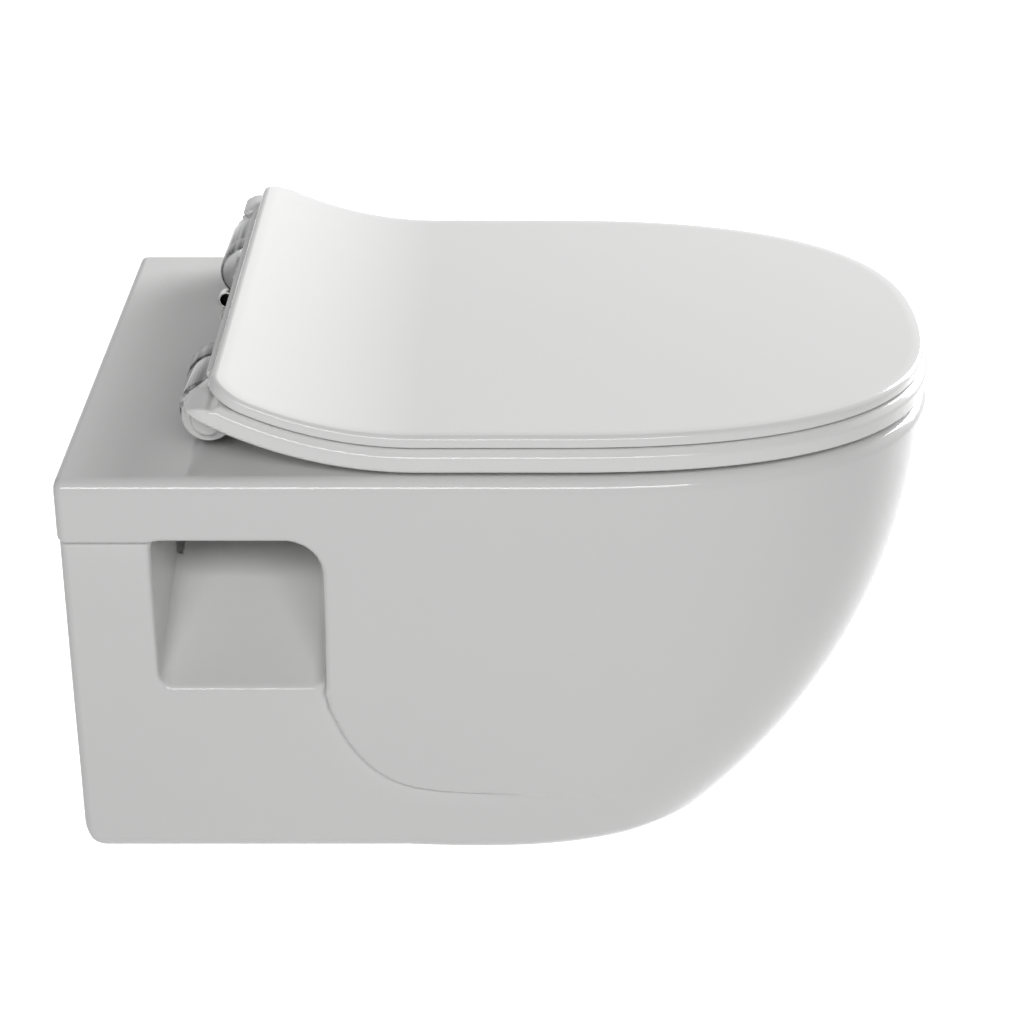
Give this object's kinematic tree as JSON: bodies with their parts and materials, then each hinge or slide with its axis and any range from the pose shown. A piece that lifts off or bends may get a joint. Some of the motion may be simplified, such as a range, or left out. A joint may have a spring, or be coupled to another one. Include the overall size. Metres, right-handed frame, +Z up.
{
  "type": "wall hung toilet",
  "caption": "Wall hung toilet: a ceramic pan with side niches for its fixings, a slim damped seat and lid kicked up at the rear, and lift-off hinges with release buttons.",
  "frame": {"origin": "on the wall plane, midway between the two fixing holes", "axes": "+Z up, +Y into the wall, +X to the right of someone facing the wall; the toilet reaches to -Y"},
  "size_m": [0.3702, 0.5019, 0.3031],
  "materials": {
    "ceramic": "glazed white sanitary ceramic",
    "seat_plastic": "polished white moulded thermoset",
    "foot_metal": "satin light grey die casting",
    "hinge_chrome": "polished",
    "button_chrome": "polished",
    "plate_steel": "brushed stainless",
    "bolt_steel": "plain stainless",
    "spring_steel": "drawn spring wire",
    "rubber": "matt black",
    "buffer_rubber": "soft white elastomer",
    "nut_plastic": "natural white nylon",
    "damper_plastic": "dark moulded",
    "shaft_plastic": "light grey acetal",
    "bush_plastic": "white acetal"
  },
  "bodies": {
    "pan_unit": {"pan": "ceramic", "plate_gasket_left": "rubber", "plate_gasket_right": "rubber", "hinge_bolt_left": "bolt_steel", "hinge_bolt_right": "bolt_steel", "hinge_plate_left": "plate_steel", "hinge_plate_right": "plate_steel", "cone_washer_left": "rubber", "cone_washer_right": "rubber", "wing_nut_left": "nut_plastic", "wing_nut_right": "nut_plastic"},
    "hinge_unit": {"hinge_foot_left": "foot_metal", "hinge_foot_right": "foot_metal", "hinge_barrel_left": "hinge_chrome", "hinge_barrel_right": "hinge_chrome", "button_spring_left": "spring_steel", "button_spring_right": "spring_steel", "seat_damper_case": "damper_plastic", "lid_damper_case": "damper_plastic"},
    "seat_unit": {"seat": "seat_plastic", "seat_damper_shaft": "shaft_plastic", "seat_bush": "bush_plastic", "seat_buffers": "buffer_rubber"},
    "lid_unit": {"lid": "seat_plastic", "lid_damper_shaft": "shaft_plastic", "lid_bush": "bush_plastic", "lid_buffers": "buffer_rubber"},
    "button_left": {"release_button_left": "button_chrome"},
    "button_right": {"release_button_right": "button_chrome"}
  },
  "joints": [
    {"name": "seat_lift_off", "type": "slide", "parent": "pan_unit", "child": "hinge_unit", "axis": [0, 0, 1], "range_m": [0, 0.035]},
    {"name": "seat_hinge", "type": "hinge", "parent": "hinge_unit", "child": "seat_unit", "pos_m": [0, -0.083, 0.104], "axis": [-1, 0, 0], "range_deg": [0, 95]},
    {"name": "lid_hinge", "type": "hinge", "parent": "seat_unit", "child": "lid_unit", "pos_m": [0, -0.083, 0.104], "axis": [1, 0, 0], "range_deg": [-100, 0]},
    {"name": "release_button_left", "type": "slide", "parent": "hinge_unit", "child": "button_left", "axis": [-1, 0, 0], "range_m": [0, 0.003], "stiffness_N_per_m": 900, "springref_m": -0.0008, "deforming": ["button_spring_left"]},
    {"name": "release_button_right", "type": "slide", "parent": "hinge_unit", "child": "button_right", "axis": [1, 0, 0], "range_m": [0, 0.003], "stiffness_N_per_m": 900, "springref_m": -0.0008, "deforming": ["button_spring_right"]}
  ]
}
